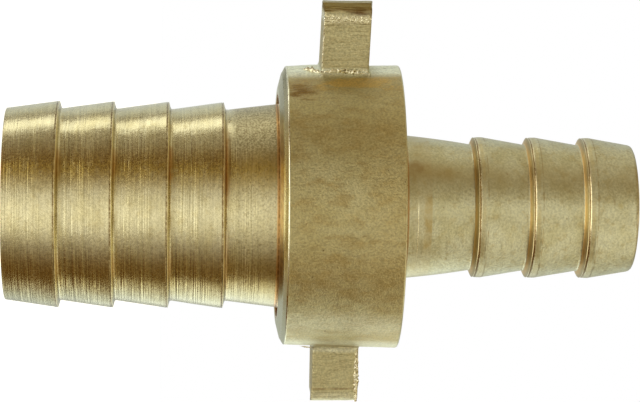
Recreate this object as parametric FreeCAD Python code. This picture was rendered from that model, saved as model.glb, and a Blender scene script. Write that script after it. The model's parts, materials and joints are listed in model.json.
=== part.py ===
import FreeCAD, Part
import math
import os
from collections import namedtuple

# A threaded hose connector that joins a wide hose to a narrow one: two barbed tails and a nut between them.
# The wide tail ends in a collar. The nut slides over that tail, catches the collar and screws onto
# the threaded boss of the narrow tail, and a flat washer is squeezed between collar and boss.
# Millimetres. All pieces turn about the Z axis. The part stands on the mouth of its wide tail, at z = 0,
# because it would roll on the round of its nut. The narrow tail points up and the lugs lie along X.

# Wide tail, measured over its barbs. The wall is what is left between them and the bore.
LARGE_CREST_D = 20.9
LARGE_BARB_HEIGHT = 0.75
LARGE_WALL = 1.7
LARGE_BARBS = 4
LARGE_FIRST_CREST_Z = 5.31
LARGE_PITCH = 5.53
LARGE_BACK = 0.22
LARGE_LAND = 0.26
JOURNAL_STEP = 0.25
COLLAR_THICK = 2.0
COLLAR_CATCH = 0.75

# Narrow tail
SMALL_CREST_D = 14.3
SMALL_BARB_HEIGHT = 0.73
SMALL_WALL = 1.42
SMALL_BARBS = 3
SMALL_PITCH = 5.5
SMALL_BACK = 0.42
SMALL_LAND = 0.75
SMALL_CREST_BEVEL = 0.16
SMALL_MOUTH_BEVEL = 0.3
SMALL_TIP_LENGTH = 5.13
NECK_LENGTH = 8.0
NECK_D = 14.76
NECK_BULGE = 0.09
BOSS_LENGTH = 5.85
BOSS_START_CHAMFER = 1.0
BOSS_BACK_CHAMFER = 0.5

# Thread between boss and nut, as plain cylinders at its largest diameter
THREAD_DEPTH = 1.16
THREAD_CLEARANCE = 0.05
COLLAR_CLEARANCE = 0.11

# Washer
WASHER_THICK = 2.0
WASHER_INSET = 0.05
WASHER_HOLE_CLEARANCE = 0.2

# Nut
NUT_FACE_GAP = 0.08
NUT_LENGTH = 12.37
NUT_HOLE_CLEARANCE = 0.5
NUT_SHOULDER_THICK = 1.9
NUT_WALL = 0.85
NUT_DRAFT = 0.27
NUT_NOSE_LENGTH = 0.75
NUT_NOSE_HEIGHT = 1.6
NUT_NOSE_BEVEL = 0.25
NUT_RIM_CHAMFER = 0.22
NUT_THREAD_CHAMFER = 0.6

# Lugs, forged in one with the nut. Each has its own height over the barrel, its own place along
# the nut, counted from the nut's middle, and its own lean.
LUG_WIDTH = 4.72
LUG_THICK = 5.9
LUG_TIP_ROUND = 1.0
LUG_EDGE_BEVEL = 0.2
LUG_FLARE = 0.5
LUG_ROOT_DEPTH = 0.6
LEFT_LUG_HEIGHT = 6.38
LEFT_LUG_OFFSET = 0.48
LEFT_LUG_LEAN_DEG = 2.2
RIGHT_LUG_HEIGHT = 5.72
RIGHT_LUG_OFFSET = 0.07
RIGHT_LUG_LEAN_DEG = 0.0

MOUTH_CHAMFER = 0.35
FULL_TURN = 360.0
ORIGIN = FreeCAD.Vector(0, 0, 0)
Y_AXIS = FreeCAD.Vector(0, 1, 0)
Z_AXIS = FreeCAD.Vector(0, 0, 1)

# Radii, worked out from the wide tail's barbs outwards to the nut
large_crest = LARGE_CREST_D / 2
large_root = large_crest - LARGE_BARB_HEIGHT
large_bore = large_root - LARGE_WALL
journal = large_crest + JOURNAL_STEP
nut_hole = journal + NUT_HOLE_CLEARANCE
collar = nut_hole + COLLAR_CATCH
boss = collar + COLLAR_CLEARANCE + THREAD_DEPTH
nut_thread = boss + THREAD_CLEARANCE
nut_narrow = nut_thread + NUT_WALL
nut_wide = nut_narrow + NUT_DRAFT
small_crest = SMALL_CREST_D / 2
small_root = small_crest - SMALL_BARB_HEIGHT
small_bore = small_root - SMALL_WALL

# Heights, each one seated on what is under it
large_taper = LARGE_PITCH - LARGE_BACK - LARGE_LAND
large_last_root_z = LARGE_FIRST_CREST_Z + (LARGE_BARBS - 1) * LARGE_PITCH + LARGE_BACK
journal_z = large_last_root_z + large_taper * (journal - large_root) / LARGE_BARB_HEIGHT
nut_face_z = large_last_root_z + large_taper + NUT_FACE_GAP
shoulder_z = nut_face_z + NUT_SHOULDER_THICK
collar_face_z = shoulder_z + COLLAR_THICK
boss_face_z = collar_face_z + WASHER_THICK
boss_back_z = boss_face_z + BOSS_LENGTH
nut_end_z = nut_face_z + NUT_LENGTH
small_first_crest_z = boss_back_z + NECK_LENGTH + SMALL_BACK
small_last_crest_z = small_first_crest_z + (SMALL_BARBS - 1) * SMALL_PITCH
small_mouth_z = small_last_crest_z + SMALL_TIP_LENGTH

# A corner of a turned outline: height, radius from the axis, how far the edge is bevelled back
# on both sides, and how far the stretch to the next corner swells out of the straight.
Corner = namedtuple("Corner", "z r bevel bulge", defaults=(0.0, 0.0))


def at(z, r):
    """A point of a turned outline."""
    return FreeCAD.Vector(r, 0, z)


def towards(corner, other):
    """The point where a corner's bevel meets the stretch to another corner."""
    here = at(corner.z, corner.r)
    return here + (at(other.z, other.r) - here).normalize() * corner.bevel


def stretch(first, last, bulge):
    """The edge between two points, straight or swelling away from the axis."""
    if not bulge:
        return Part.LineSegment(first, last).toShape()
    along = last - first
    outward = FreeCAD.Vector(along.z, 0, -along.x).normalize()
    return Part.Arc(first, (first + last) * 0.5 + outward * bulge, last).toShape()


def outline(corners):
    """The closed wire through the corners, with its edges bevelled."""
    edges = []
    for i, corner in enumerate(corners):
        before = corners[i - 1]
        after = corners[(i + 1) % len(corners)]
        if corner.bevel:
            edges.append(stretch(towards(corner, before), towards(corner, after), 0.0))
        edges.append(stretch(towards(corner, after), towards(after, corner), corner.bulge))
    return Part.Wire(edges)


def turned(corners):
    """The solid that the outline sweeps about the Z axis."""
    return Part.Face(outline(corners)).revolve(ORIGIN, Z_AXIS, FULL_TURN)


def large_hose_tail():
    """Wide tail. Its barbs rise away from the mouth and drop behind each crest."""
    corners = [
        Corner(0.0, large_bore + MOUTH_CHAMFER),
        Corner(0.0, large_root),
    ]
    for i in range(LARGE_BARBS):
        crest_z = LARGE_FIRST_CREST_Z + i * LARGE_PITCH
        corners += [
            Corner(crest_z - LARGE_LAND, large_crest),
            Corner(crest_z, large_crest),
            Corner(crest_z + LARGE_BACK, large_root),
        ]
    corners += [
        Corner(journal_z, journal),
        Corner(shoulder_z, journal),
        Corner(shoulder_z, collar),
        Corner(collar_face_z, collar),
        Corner(collar_face_z, large_bore),
        Corner(MOUTH_CHAMFER, large_bore),
    ]
    return turned(corners)


def sealing_washer():
    """Flat ring between the collar and the boss."""
    hole = large_bore + WASHER_HOLE_CLEARANCE
    rim = collar - WASHER_INSET
    return turned([
        Corner(collar_face_z, hole),
        Corner(collar_face_z, rim),
        Corner(boss_face_z, rim),
        Corner(boss_face_z, hole),
    ])


def small_hose_tail():
    """Narrow tail with its threaded boss. Its barbs rise away from its mouth, down towards the nut."""
    corners = [
        Corner(boss_face_z, small_bore),
        Corner(boss_face_z, boss - BOSS_START_CHAMFER),
        Corner(boss_face_z + BOSS_START_CHAMFER, boss),
        Corner(boss_back_z - BOSS_BACK_CHAMFER, boss),
        Corner(boss_back_z, boss - BOSS_BACK_CHAMFER),
        Corner(boss_back_z, NECK_D / 2, bulge=NECK_BULGE),
    ]
    for i in range(SMALL_BARBS):
        crest_z = small_first_crest_z + i * SMALL_PITCH
        corners += [
            Corner(crest_z - SMALL_BACK, small_root),
            Corner(crest_z, small_crest, SMALL_CREST_BEVEL),
            Corner(crest_z + SMALL_LAND, small_crest),
        ]
    slope = SMALL_BARB_HEIGHT / (SMALL_PITCH - SMALL_BACK - SMALL_LAND)
    tip = small_crest - slope * (SMALL_TIP_LENGTH - SMALL_LAND)
    corners += [
        Corner(small_mouth_z, tip, SMALL_MOUTH_BEVEL),
        Corner(small_mouth_z, small_bore + MOUTH_CHAMFER),
        Corner(small_mouth_z - MOUTH_CHAMFER, small_bore),
    ]
    return turned(corners)


def nut_blank():
    """Outside of the nut: a sloping nose, then a barrel that widens a little towards the open end."""
    return turned([
        Corner(nut_face_z, 0.0),
        Corner(nut_face_z, nut_narrow - NUT_NOSE_HEIGHT, NUT_NOSE_BEVEL),
        Corner(nut_face_z + NUT_NOSE_LENGTH, nut_narrow, NUT_NOSE_BEVEL),
        Corner(nut_end_z - NUT_RIM_CHAMFER, nut_wide),
        Corner(nut_end_z, nut_wide - NUT_RIM_CHAMFER),
        Corner(nut_end_z, 0.0),
    ])


def nut_hollow():
    """Inside of the nut: the hole that the wide tail passes through, the shoulder and the thread."""
    return turned([
        Corner(nut_face_z, 0.0),
        Corner(nut_face_z, nut_hole),
        Corner(shoulder_z, nut_hole),
        Corner(shoulder_z, nut_thread),
        Corner(nut_end_z - NUT_THREAD_CHAMFER, nut_thread),
        Corner(nut_end_z, nut_thread + NUT_THREAD_CHAMFER),
        Corner(nut_end_z, 0.0),
    ])


def lug(height, offset, lean_deg):
    """A square lug along +X with rounded tip edges and a small flare where it grows out of the barrel."""
    half = LUG_THICK / 2
    foot = half + LUG_FLARE
    barrel = (nut_narrow + nut_wide) / 2
    base = math.sqrt(barrel ** 2 - foot ** 2)
    deep = base - LUG_ROOT_DEPTH
    flare_end = base + LUG_FLARE
    tip = barrel + height
    tip_half = half - LUG_TIP_ROUND
    short_of_corner = 1 - math.sqrt(0.5)

    def spot(out, side):
        return FreeCAD.Vector(out, side, -LUG_WIDTH / 2)

    def side_edges(sign):
        dip = LUG_FLARE * short_of_corner
        bend = LUG_TIP_ROUND * short_of_corner
        flare_mid = spot(base + dip, sign * (half + dip))
        round_mid = spot(tip - bend, sign * (half - bend))
        round_start = spot(tip - LUG_TIP_ROUND, sign * half)
        return [
            Part.LineSegment(spot(deep, sign * foot), spot(base, sign * foot)),
            Part.Arc(spot(base, sign * foot), flare_mid, spot(flare_end, sign * half)),
            Part.LineSegment(spot(flare_end, sign * half), round_start),
            Part.Arc(round_start, round_mid, spot(tip, sign * tip_half)),
        ]

    edges = side_edges(1) + side_edges(-1) + [
        Part.LineSegment(spot(tip, tip_half), spot(tip, -tip_half)),
        Part.LineSegment(spot(deep, foot), spot(deep, -foot)),
    ]
    profile = Part.Face(Part.Wire(Part.__sortEdges__([e.toShape() for e in edges])))
    block = profile.extrude(FreeCAD.Vector(0, 0, LUG_WIDTH))
    rim_edges = [e for e in block.Edges if e.BoundBox.ZLength < 1e-6 and e.BoundBox.XMin > flare_end - 1e-6]
    block = block.makeChamfer(LUG_EDGE_BEVEL, rim_edges)
    block.rotate(FreeCAD.Vector(barrel, 0, 0), Y_AXIS, -lean_deg)
    block.translate(FreeCAD.Vector(0, 0, nut_face_z + NUT_LENGTH / 2 + offset))
    return block


def union_nut():
    """Nut with its two lugs, one piece."""
    right = lug(RIGHT_LUG_HEIGHT, RIGHT_LUG_OFFSET, RIGHT_LUG_LEAN_DEG)
    left = lug(LEFT_LUG_HEIGHT, LEFT_LUG_OFFSET, LEFT_LUG_LEAN_DEG)
    left.rotate(ORIGIN, Z_AXIS, FULL_TURN / 2)
    return nut_blank().fuse([right, left]).cut(nut_hollow()).removeSplitter()


PIECES = {
    "large_hose_tail": large_hose_tail,
    "sealing_washer": sealing_washer,
    "small_hose_tail": small_hose_tail,
    "union_nut": union_nut,
}

os.makedirs("parts", exist_ok=True)
for name, make in PIECES.items():
    shape = make()
    shape.exportStep("parts/" + name + ".step")
    box = shape.BoundBox
    print(name, len(shape.Solids), "solid", shape.isValid(), round(shape.Volume, 2), "mm3",
          "x", round(box.XMin, 2), round(box.XMax, 2), "z", round(box.ZMin, 2), round(box.ZMax, 2))
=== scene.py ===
"""Looks of a threaded hose connector: two barbed brass tails, a nut with two lugs and a flat washer.

Meshes are shaped in millimetres about the Z axis and stored in metres. The connector stands on the
mouth of its wide tail. The picture shows it lying on its side, so the camera is rolled by a quarter turn.
"""
import json
import math

import bmesh
import bpy
import numpy as np
from mathutils import Matrix, Vector, noise


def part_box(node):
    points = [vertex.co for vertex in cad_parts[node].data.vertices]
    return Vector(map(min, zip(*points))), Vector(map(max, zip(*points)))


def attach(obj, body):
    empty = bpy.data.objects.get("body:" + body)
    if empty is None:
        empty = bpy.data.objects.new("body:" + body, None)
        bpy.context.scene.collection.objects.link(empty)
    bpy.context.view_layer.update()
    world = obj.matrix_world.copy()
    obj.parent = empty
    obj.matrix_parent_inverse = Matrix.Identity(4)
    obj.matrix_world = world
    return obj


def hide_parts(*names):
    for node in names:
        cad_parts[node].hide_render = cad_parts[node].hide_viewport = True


MM = 0.001
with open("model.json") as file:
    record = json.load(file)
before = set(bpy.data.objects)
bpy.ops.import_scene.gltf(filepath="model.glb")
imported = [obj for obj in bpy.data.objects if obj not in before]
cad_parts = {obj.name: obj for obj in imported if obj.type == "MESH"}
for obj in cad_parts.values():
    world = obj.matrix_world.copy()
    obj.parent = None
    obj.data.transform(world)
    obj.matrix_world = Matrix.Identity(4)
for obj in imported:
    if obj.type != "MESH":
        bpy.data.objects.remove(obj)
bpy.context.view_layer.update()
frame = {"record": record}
mounts = {mount["name"]: mount for mount in frame["record"]["mounts"]}


def span(node):
    """Lowest height, highest height and largest Y of a node, in millimetres."""
    low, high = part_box(node)
    return low.z / MM, high.z / MM, high.y / MM


def mount_radius(name):
    return mounts[name]["dims"]["r_mm"]


# Sizes from the frame
large_foot, large_top, collar_r = span("large_hose_tail")
washer_low, washer_high, washer_r = span("sealing_washer")
boss_low, small_top, boss_r = span("small_hose_tail")
nut_low, nut_high, nut_r = span("union_nut")
large_crest_r = mount_radius("large_hose")
small_crest_r = mount_radius("small_hose")
large_bore_r = mount_radius("large_passage")
small_bore_r = mount_radius("small_passage")
left_reach = -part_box("union_nut")[0].x / MM
right_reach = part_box("union_nut")[1].x / MM

# Wide tail
LARGE_BARB_HEIGHT = 0.75
LARGE_BARBS = 4
LARGE_PITCH = 5.53
LARGE_BACK = 0.22
JOURNAL_STEP = 0.25
COLLAR_THICK = 2.0
CREST_GROOVE = 0.05
CREST_GROOVE_WIDTH = 0.12
CREST_GROOVE_OFFSET = 0.11
MOUTH_CHAMFER = 0.35
LARGE_COLUMNS = 224
LARGE_UNEVENNESS = 0.012

# Narrow tail
SMALL_BARB_HEIGHT = 0.73
SMALL_BARBS = 3
SMALL_PITCH = 5.5
SMALL_BACK = 0.42
SMALL_LAND = 0.75
SMALL_TIP_LENGTH = 5.13
SMALL_TIP_ROUND = 0.6
NECK_LENGTH = 8.0
NECK_R = 7.38
NECK_BULGE = 0.09
BOSS_LENGTH = 5.85
BOSS_START_CHAMFER = 1.0
BOSS_BACK_CHAMFER = 0.5
SMALL_COLUMNS = 208
SMALL_UNEVENNESS = 0.008

# Washer
WASHER_HOLE_CLEARANCE = 0.2
WASHER_COLUMNS = 128

# Thread between boss and nut, one start, right-hand
THREAD_PITCH = 1.814
THREAD_DEPTH = 1.16
THREAD_CLEARANCE = 0.05
THREAD_CREST_SHARE = 0.16
THREAD_STEP = 0.09
RUN_OUT_START = 1.6
RUN_OUT_LENGTH = 1.2

# Nut. Its nose is a little higher and its hole a little wider than the solid's.
NUT_SHOULDER_THICK = 1.9
NUT_HOLE_CLEARANCE = 0.5
NUT_HOLE_EXTRA = 0.1
NUT_DRAFT = 0.27
NUT_NOSE_LENGTH = 0.9
NUT_FACE_LIFT = 0.12
NUT_FACE_WIDTH = 0.36
NUT_THREAD_CHAMFER = 0.6
NUT_RIM_ROUND = 0.24
PLAIN_STEP_DEG = 2.0
LUG_STEP_DEG = 0.75
DENSE_REACH_DEG = 18.0

# Lugs. The left one, along -X, is at the picture's top; -Y is their near side and +Y the far one.
LUG_HALF_WIDTH = 2.36
LUG_HALF_THICK = 2.95
LUG_REACH_DEG = 15.0
LUG_EDGE_ROUND = 0.12
TORN_EDGE_ROUND = 0.55
LUG_END_ROUND = 0.1
LUG_FOOT_ROUND = 0.42
LEFT_TIP_ROUND = 0.4
RIGHT_TIP_ROUND = 0.75
TIP_LEAN_TO_FAR = 0.75
LEFT_FAR_WIDER = 0.4
RIGHT_TIP_FLARE = 0.16
LEFT_LUG_Z = 33.915
RIGHT_LUG_Z = 33.505
LEFT_LUG_LEAN = math.radians(2.2)

# Marks seen in the photo, with a painted highlight line on the neck and a painted shade by the left lug among them:
# heights up the axis, or an angle around it in the picture and a height
NECK_GLINT_Z = 41.27
NECK_BAND_Z = (41.7, 42.1)
NECK_WORN_END_Z = (42.6, 42.72)
NECK_SPOT = (33, 41.0)
BROWN_STAIN = (53, 29.4)
LUG_SHADE_SPOT = (59, 35.0)

# Painted shade and a painted highlight on a ridge at the foot of the right lug, by their place along X
FOOT_SHADE_X = 13.55
FOOT_RIDGE_GLINT_X = 14.02

# The picture's own directions: right is up the axis, towards is from the part to the camera
CAMERA_AZIMUTH = math.radians(-11.5)
RIGHT = Vector((0, 0, 1))
TOWARDS = Vector((math.sin(CAMERA_AZIMUTH), -math.cos(CAMERA_AZIMUTH), 0))
UP = TOWARDS.cross(RIGHT)

# The photograph's camera, in millimetres and degrees from the mouth of the wide tail
CAMERA_RIGHT = 18.217
CAMERA_UP = 0.507
CAMERA_FAR = 270.3
CAMERA_YAW = math.radians(2.876)
CAMERA_ROLL = math.radians(0.45)
CAMERA_LENS = 149.44

# Lamps stand round the middle of the part
LAMP_FAR = 0.6
LAMP_MIDDLE = 33.4
LAMP_COLOUR = (0.97, 1.0, 0.96)

# Angle around the axis and up along it, width and height, all in degrees, brightness and colour
LAMPS = {
    "top_lamp": (107.0, -25.0, 18.0, 50.0, 1.6, LAMP_COLOUR),
    "low_lamp": (-68.0, 38.0, 66.0, 36.0, 0.95, LAMP_COLOUR),
    "rim_lamp": (-126.0, 2.0, 54.0, 20.0, 1.4, (0.92, 1.0, 0.98)),
    "high_lamp": (90.0, 22.0, 70.0, 50.0, 0.36, LAMP_COLOUR),
    "edge_lamp": (10.0, -62.0, 70.0, 34.0, 2.0, LAMP_COLOUR),
}

# Soft patches of light in the room: middle and half width around the axis, the same along it, and colour
ROOM_GLOWS = [
    (-15.0, 68.0, -20.0, 60.0, (0.52, 0.53, 0.49)),
    (-8.0, 50.0, -30.0, 34.0, (0.72, 0.73, 0.7)),
    (-4.0, 18.0, 26.0, 26.0, (1.3, 1.36, 1.34)),
    (68.0, 18.0, -19.0, 16.0, (0.1, 0.1, 0.075)),
    (15.0, 55.0, 26.0, 26.0, (0.18, 0.18, 0.16)),
    (34.0, 26.0, 0.0, 18.0, (0.3, 0.34, 0.34)),
    (-20.0, 28.0, 0.0, 16.0, (0.14, 0.16, 0.15)),
    (91.0, 33.0, -12.0, 34.0, (0.2, 0.21, 0.18)),
    (140.0, 24.0, 1.0, 16.0, (0.8, 0.86, 0.8)),
    (-114.0, 28.0, 5.0, 13.0, (0.66, 0.75, 0.76)),
]


# ---------------------------------------------------------------- shapes


def rounded(corners):
    """Closed outline through corners (z, r, radius, spacing): arcs at the corners, straight runs divided."""
    points = []
    count = len(corners)
    for i, (z, r, radius, spacing) in enumerate(corners):
        here = Vector((z, r))
        before = Vector(corners[i - 1][:2]) - here
        after_corner = corners[(i + 1) % count]
        after = Vector(after_corner[:2]) - here
        turn = math.pi - before.angle(after)
        reach = min(radius * math.tan(turn / 2), 0.4 * before.length, 0.4 * after.length)
        start = here + before.normalized() * reach
        end = here + after.normalized() * reach
        steps = max(1, round(turn / math.radians(18)))
        for step in range(steps + 1):
            t = step / steps
            points.append((1 - t) ** 2 * start + 2 * t * (1 - t) * here + t * t * end)
        turn_after = math.pi - (-after).angle(Vector(corners[(i + 2) % count][:2]) - Vector(after_corner[:2]))
        reach_after = min(after_corner[2] * math.tan(turn_after / 2), 0.4 * after.length)
        stop = here + after.normalized() * (after.length - reach_after)
        run = stop - end
        hold = min(0.03, 0.2 * run.length)
        pieces = max(1, round((run.length - 2 * hold) / spacing))
        for piece in range(pieces + 1):
            along = hold + (run.length - 2 * hold) * piece / pieces
            points.append(end + run.normalized() * along)
    return np.array([p[:] for p in points])


def smooth_mesh(name, verts, faces, materials, face_materials=None):
    """Mesh object from millimetre vertices, with outward normals and smooth shading."""
    mesh = bpy.data.meshes.new(name)
    mesh.from_pydata((np.asarray(verts) * MM).tolist(), [], faces)
    for material in materials:
        mesh.materials.append(material)
    if face_materials is not None:
        mesh.polygons.foreach_set("material_index", face_materials)
    shaped = bmesh.new()
    shaped.from_mesh(mesh)
    bmesh.ops.recalc_face_normals(shaped, faces=shaped.faces)
    shaped.to_mesh(mesh)
    shaped.free()
    mesh.polygons.foreach_set("use_smooth", [True] * len(mesh.polygons))
    return put_in_scene(name, mesh)


def put_in_scene(name, data):
    """Object of a mesh, a lamp or a camera, linked to the scene."""
    obj = bpy.data.objects.new(name, data)
    bpy.context.scene.collection.objects.link(obj)
    return obj


def wave(points, wavelength, seed):
    """Smooth noise about 0 at each point, the same on every run."""
    shift = Vector((seed * 17.3, seed * 9.1, seed * 5.7))
    return np.array([noise.noise(Vector(p) / wavelength + shift) for p in points])


def turned_grid(outline, angles, radius_at=None):
    """Vertices of the outline swept about the axis, as an array outline x angle x 3."""
    z = outline[:, :1] * np.ones(len(angles))
    r = outline[:, 1:] * np.ones(len(angles))
    if radius_at is not None:
        r = radius_at(angles[None, :] * np.ones_like(z), z, r)
    return np.stack([r * np.cos(angles), r * np.sin(angles), z], axis=-1)


def ring_faces(rows, columns):
    """Faces of a grid that closes in both directions."""
    faces = []
    for i in range(rows):
        below = i * columns
        above = (i + 1) % rows * columns
        for j in range(columns):
            k = (j + 1) % columns
            faces.append((below + j, below + k, above + k, above + j))
    return faces


def turned_piece(name, corners, columns, material, radius_at=None, unevenness=0.0):
    """A turned piece with a slightly uneven outside."""
    outline = rounded(corners)
    grid = turned_grid(outline, np.arange(columns) * 2 * math.pi / columns, radius_at)
    verts = grid.reshape(-1, 3)
    if unevenness:
        out = verts.copy()
        out[:, 2] = 0
        out /= np.linalg.norm(out, axis=1, keepdims=True)
        verts = verts + out * (wave(verts, 2.3, 1) * unevenness)[:, None]
    return smooth_mesh(name, verts, ring_faces(len(outline), columns), [material])


def thread_radius(angle, z, crest_r):
    """Radius of a right-hand thread with rounded crests and roots, at its crest_r outermost."""
    phase = (z / THREAD_PITCH - angle / (2 * math.pi)) % 1.0
    off_crest = np.abs(phase - np.round(phase)) * 2
    flank = np.clip((off_crest - THREAD_CREST_SHARE) / (1 - 2 * THREAD_CREST_SHARE), 0, 1)
    soft = flank * flank * (3 - 2 * flank)
    return crest_r - THREAD_DEPTH * (0.55 * flank + 0.45 * soft)


def large_hose_tail(material):
    """Wide tail: barbs with a fine groove before each crest, the journal and the collar."""
    root = large_crest_r - LARGE_BARB_HEIGHT
    journal = large_crest_r + JOURNAL_STEP
    shoulder = large_top - COLLAR_THICK
    corners = [
        (large_foot, large_bore_r + MOUTH_CHAMFER, 0.03, 0.5),
        (large_foot, root, 0.1, 0.3),
    ]
    for i in range(LARGE_BARBS):
        crest = (i + 1) * LARGE_PITCH - LARGE_BACK
        groove = crest - CREST_GROOVE_OFFSET
        corners += [
            (groove - CREST_GROOVE_WIDTH / 2, large_crest_r - 0.01, 0.02, 0.2),
            (groove, large_crest_r - CREST_GROOVE, 0.03, 0.2),
            (groove + CREST_GROOVE_WIDTH / 2, large_crest_r, 0.04, 0.2),
            (crest + 0.01, large_crest_r, 0.06, 0.2),
            (crest + LARGE_BACK, root, 0.22, 0.24),
        ]
    corners += [
        (nut_low + 0.1, large_crest_r - 0.12, 0.3, 0.24),
        (nut_low + 1.3, journal, 0.3, 0.3),
        (shoulder, journal, 0.1, 0.3),
        (shoulder, collar_r, 0.12, 0.5),
        (large_top, collar_r, 0.12, 0.6),
        (large_top, large_bore_r, 0.1, 1.2),
        (large_foot + MOUTH_CHAMFER, large_bore_r, 0.05, 0.3),
    ]
    return turned_piece("large_tail_turned", corners, LARGE_COLUMNS, material, unevenness=LARGE_UNEVENNESS)


def small_hose_tail(material):
    """Narrow tail: barbs with a fine groove on each crest, a swelling neck and the threaded boss."""
    root = small_crest_r - SMALL_BARB_HEIGHT
    boss_high = boss_low + BOSS_LENGTH
    neck_end = boss_high + NECK_LENGTH
    corners = [
        (boss_low, small_bore_r, 0.1, 0.6),
        (boss_low, boss_r - BOSS_START_CHAMFER, 0.05, THREAD_STEP),
        (boss_low + BOSS_START_CHAMFER, boss_r, 0.03, THREAD_STEP),
        (boss_high - BOSS_BACK_CHAMFER, boss_r, 0.03, THREAD_STEP),
        (boss_high, boss_r - BOSS_BACK_CHAMFER, 0.05, 0.6),
        (boss_high, NECK_R, 0.25, 0.24),
    ]
    for i in range(SMALL_BARBS):
        crest = neck_end + SMALL_BACK + i * SMALL_PITCH
        corners += [
            (crest - SMALL_BACK, root, 0.22, 0.1),
            (crest - 0.08, small_crest_r, 0.09, 0.1),
            (crest + 0.05, small_crest_r - 0.08, 0.03, 0.1),
            (crest + 0.18, small_crest_r, 0.08, 0.1),
            (crest + SMALL_LAND, small_crest_r + 0.01, 0.1, 0.24),
        ]
    slope = SMALL_BARB_HEIGHT / (SMALL_PITCH - SMALL_BACK - SMALL_LAND)
    tip = small_crest_r - slope * (SMALL_TIP_LENGTH - SMALL_LAND)
    corners += [
        (small_top, tip, SMALL_TIP_ROUND, 0.2),
        (small_top, small_bore_r + MOUTH_CHAMFER, 0.06, 0.2),
        (small_top - MOUTH_CHAMFER, small_bore_r, 0.06, 1.2),
    ]

    def radius_at(angle, z, r):
        on_boss = (z > boss_low + 0.05) & (z < boss_high - 0.02) & (r > NECK_R + 2)
        on_neck = (z > boss_high + 0.3) & (z < neck_end) & (r > small_bore_r + 0.8)
        part = (z - boss_high) / NECK_LENGTH
        threaded = np.minimum(r, thread_radius(angle, z, boss_r))
        swollen = r + 4 * NECK_BULGE * part * (1 - part)
        return np.where(on_boss, threaded, np.where(on_neck, swollen, r))

    return turned_piece("small_tail_turned", corners, SMALL_COLUMNS, material, radius_at, SMALL_UNEVENNESS)


def sealing_washer(material):
    """Flat ring with rounded edges."""
    hole = large_bore_r + WASHER_HOLE_CLEARANCE
    corners = [
        (washer_low, hole, 0.15, 0.5),
        (washer_low, washer_r, 0.3, 0.3),
        (washer_high, washer_r, 0.3, 0.5),
        (washer_high, hole, 0.15, 0.3),
    ]
    return turned_piece("washer_ring", corners, WASHER_COLUMNS, material)


def nut_outline():
    """Outside from the hole over the nose and the barrel to the rim, then back inside."""
    hole = large_crest_r + JOURNAL_STEP + NUT_HOLE_CLEARANCE + NUT_HOLE_EXTRA
    narrow = nut_r - NUT_DRAFT
    bore = boss_r + THREAD_CLEARANCE
    face = nut_low + NUT_FACE_LIFT
    nose_end = nut_low + NUT_NOSE_LENGTH
    shoulder = nut_low + NUT_SHOULDER_THICK
    return rounded([
        (face, hole, 0.05, 0.2),
        (face - 0.01, narrow - 2.1, 0.5, 0.1),
        (face + NUT_FACE_WIDTH, narrow - 0.62, 0.12, 0.1),
        (nose_end - 0.03, narrow + 0.02, 0.2, 0.1),
        (nose_end + 0.27, narrow, 0.1, 0.165),
        (nut_high, nut_r, NUT_RIM_ROUND, 0.3),
        (nut_high, bore + NUT_THREAD_CHAMFER, 0.04, THREAD_STEP),
        (nut_high - NUT_THREAD_CHAMFER, bore, 0.03, THREAD_STEP),
        (shoulder, bore, 0.2, 0.5),
        (shoulder, hole, 0.1, 0.3),
    ])


def nut_angles():
    """Columns of the nut, closer together across the two lugs."""
    near = np.arange(-DENSE_REACH_DEG, DENSE_REACH_DEG, LUG_STEP_DEG)
    far = np.arange(DENSE_REACH_DEG, 180 - DENSE_REACH_DEG, PLAIN_STEP_DEG)
    return np.radians(np.concatenate([near, far, near + 180, far + 180]))


def nut_radius(angle, z, r):
    """Cuts the thread into the bore; it runs out above the shoulder."""
    bore = boss_r + THREAD_CLEARANCE
    shoulder = nut_low + NUT_SHOULDER_THICK
    inside = (r < bore + NUT_THREAD_CHAMFER - 0.02) & (r > bore - 0.05) & (z > shoulder + 0.3)
    ridge = bore - thread_radius(angle, z, bore)
    run_out = np.clip((z - (shoulder + RUN_OUT_START)) / RUN_OUT_LENGTH, 0, 1)
    end = np.clip((nut_high - z) / NUT_THREAD_CHAMFER, 0, 1)
    return np.where(inside, r - ridge * run_out * end, r)


def rounded_rectangle(across, along, half_across, half_along, radius):
    """Moves a point of a rectangle's edge, -1 to 1 each way, onto the rectangle with rounded corners."""
    y, z = across * half_across, along * half_along
    inner_y = max(-half_across + radius, min(half_across - radius, y))
    inner_z = max(-half_along + radius, min(half_along - radius, z))
    off = math.hypot(y - inner_y, z - inner_z)
    if off < 1e-9:
        return y, z
    return inner_y + (y - inner_y) / off * radius, inner_z + (z - inner_z) / off * radius


def lug_rings(height, tip_round):
    """Height over the barrel and growth of the outline across and along, ring by ring."""
    rings = []
    for deg in (12, 30, 50, 70, 90):
        out = LUG_FOOT_ROUND * (1 - math.sin(math.radians(deg)))
        rings.append((LUG_FOOT_ROUND * (1 - math.cos(math.radians(deg))), out, 0.3 * out))
    wall = height - tip_round - LUG_FOOT_ROUND
    for step in range(1, 12):
        rings.append((LUG_FOOT_ROUND + wall * step / 12, 0.0, 0.0))
    for deg in (0, 15, 30, 45, 58, 68, 76, 83, 90):
        rise = tip_round * math.sin(math.radians(deg))
        inset = tip_round * (1 - math.cos(math.radians(deg)))
        into_end = max(0.0, rise - (tip_round - LUG_END_ROUND))
        end_inset = LUG_END_ROUND - math.sqrt(max(0.0, LUG_END_ROUND ** 2 - into_end ** 2))
        rings.append((height - tip_round + rise, -inset, -end_inset))
    return rings


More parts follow.
